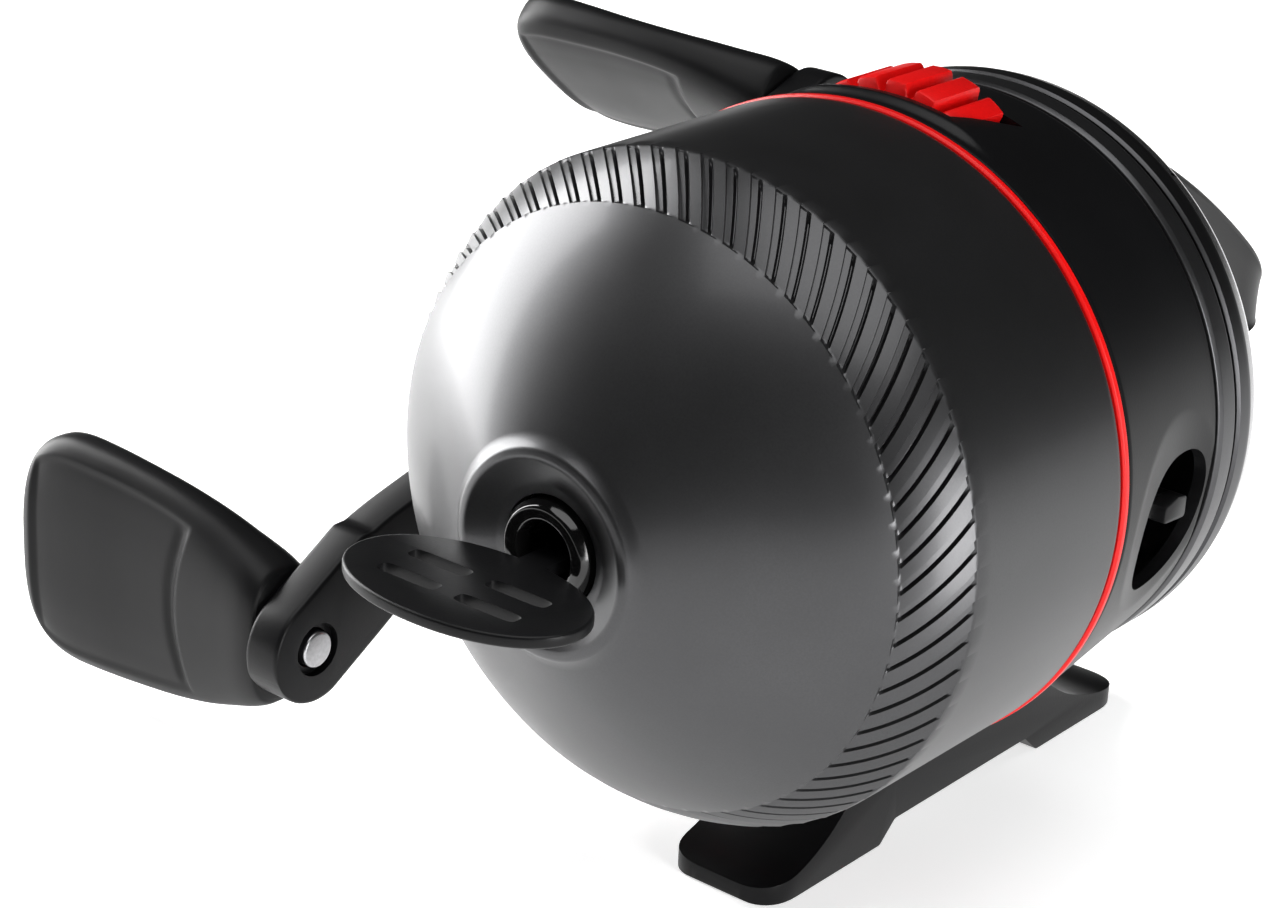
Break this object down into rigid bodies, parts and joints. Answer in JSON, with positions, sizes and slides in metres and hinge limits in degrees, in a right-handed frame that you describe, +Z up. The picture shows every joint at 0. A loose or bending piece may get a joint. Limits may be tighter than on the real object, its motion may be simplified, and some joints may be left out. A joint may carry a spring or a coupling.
{
  "type": "spincast reel",
  "caption": "Closed-face fishing reel with a domed front cover, side crank with paddle knobs, top drag dial, rear thumb button and a foot for a rod.",
  "frame": {"origin": "centre of the raised middle of the foot, on its underside", "axes": "+Z up from the foot to the body, -Y towards the nose where the line leaves, -X is the crank side"},
  "size_m": [0.1186, 0.1273, 0.0808],
  "materials": {
    "gunmetal": "satin metallic",
    "black_gloss": "polished ceramic black",
    "red": "anodised red",
    "black_satin": "satin black",
    "dark_metal": "dark satin metallic",
    "polished": "polished",
    "cast": "die cast",
    "steel": "machined",
    "brass": "machined",
    "felt": "oiled felt",
    "line": "nylon line",
    "soft_black": "soft touch"
  },
  "bodies": {
    "housing": {"front_cover": "gunmetal", "line_guide": "black_gloss", "trim_ring": "red", "body_shroud": "black_satin", "rear_ring": "dark_metal", "back_cover": "polished", "main_frame": "cast", "reel_foot": "black_satin", "foot_screw_front": "steel", "foot_screw_rear": "steel", "back_screw_left": "steel", "back_screw_right": "steel", "back_screw_bottom": "steel", "crank_bushing_left": "brass", "crank_bushing_right": "brass", "pinion_bearing": "brass", "drag_washer": "felt", "button_pin": "steel", "pawl_pin": "steel", "pawl_spring": "steel"},
    "crank": {"crankshaft": "steel", "drive_gear": "brass", "ratchet_wheel": "steel", "crank_washer": "steel", "handle_nut": "steel", "knob_pin_front": "steel", "knob_pin_rear": "steel", "crank_arm": "black_satin"},
    "knob_front_body": {"knob_front": "soft_black"},
    "knob_rear_body": {"knob_rear": "soft_black"},
    "pinion_body": {"pinion": "brass"},
    "spinner": {"spinner_head": "steel", "center_shaft": "steel", "spinner_nut": "brass", "shaft_collar": "steel", "return_spring": "steel"},
    "pickup": {"pickup_pin": "steel"},
    "spool_body": {"spool": "cast", "line_pack": "line"},
    "dial": {"drag_dial": "red", "drag_screw": "steel"},
    "drag_plate_body": {"drag_plate": "steel"},
    "button": {"thumb_button": "black_satin"},
    "pawl": {"anti_reverse_pawl": "steel"},
    "switch": {"alert_switch": "black_satin"},
    "line_keeper": {"line_keeper_tag": "black_satin"}
  },
  "joints": [
    {"name": "crank_spin", "type": "hinge", "parent": "housing", "child": "crank", "pos_m": [0, -0.007, 0.0376], "axis": [1, 0, 0], "continuous": true},
    {"name": "knob_front_spin", "type": "hinge", "parent": "crank", "child": "knob_front_body", "pos_m": [-0.047, -0.04824, 0.01531], "axis": [1, 0, 0], "continuous": true},
    {"name": "knob_rear_spin", "type": "hinge", "parent": "crank", "child": "knob_rear_body", "pos_m": [-0.047, 0.03649, 0.05509], "axis": [1, 0, 0], "continuous": true},
    {"name": "pinion_spin", "type": "hinge", "parent": "housing", "child": "pinion_body", "pos_m": [0, -0.0158, 0.0441], "axis": [0, 1, 0], "continuous": true},
    {"name": "spinner_slide", "type": "slide", "parent": "pinion_body", "child": "spinner", "axis": [0, -1, 0], "range_m": [0, 0.0034]},
    {"name": "pickup_pin_slide", "type": "slide", "parent": "spinner", "child": "pickup", "axis": [0, 0, -1], "range_m": [0, 0.0018]},
    {"name": "thumb_press", "type": "hinge", "parent": "housing", "child": "button", "pos_m": [0, 0.0094, 0.0675], "axis": [-1, 0, 0], "range_deg": [0, 8]},
    {"name": "drag_dial_turn", "type": "hinge", "parent": "housing", "child": "dial", "pos_m": [0, -0.0095, 0.0661], "axis": [0, 1, 0], "range_deg": [-120, 120]},
    {"name": "drag_plate_slide", "type": "slide", "parent": "housing", "child": "drag_plate_body", "axis": [0, -1, 0], "range_m": [-0.00024, 0.00024]},
    {"name": "spool_spin", "type": "hinge", "parent": "housing", "child": "spool_body", "pos_m": [0, -0.032, 0.0441], "axis": [0, 1, 0], "continuous": true},
    {"name": "pawl_swing", "type": "hinge", "parent": "housing", "child": "pawl", "pos_m": [0.0098, -0.016, 0.0276], "axis": [1, 0, 0], "range_deg": [-4, 12]},
    {"name": "alert_switch_slide", "type": "slide", "parent": "housing", "child": "switch", "axis": [0, 0, 1], "range_m": [-0.0035, 0.0015]},
    {"name": "line_keeper_pull", "type": "slide", "parent": "housing", "child": "line_keeper", "axis": [0, -1, 0], "range_m": [0, 0.03]}
  ],
  "couplings": [
    {"joint": "pinion_spin", "follows": "crank_spin", "ratio": -3.6},
    {"joint": "spinner_slide", "follows": "thumb_press", "m_per_rad": 0.0234},
    {"joint": "pickup_pin_slide", "follows": "thumb_press", "m_per_rad": 0.0124},
    {"joint": "drag_plate_slide", "follows": "drag_dial_turn", "m_per_rad": 0.00011141}
  ]
}
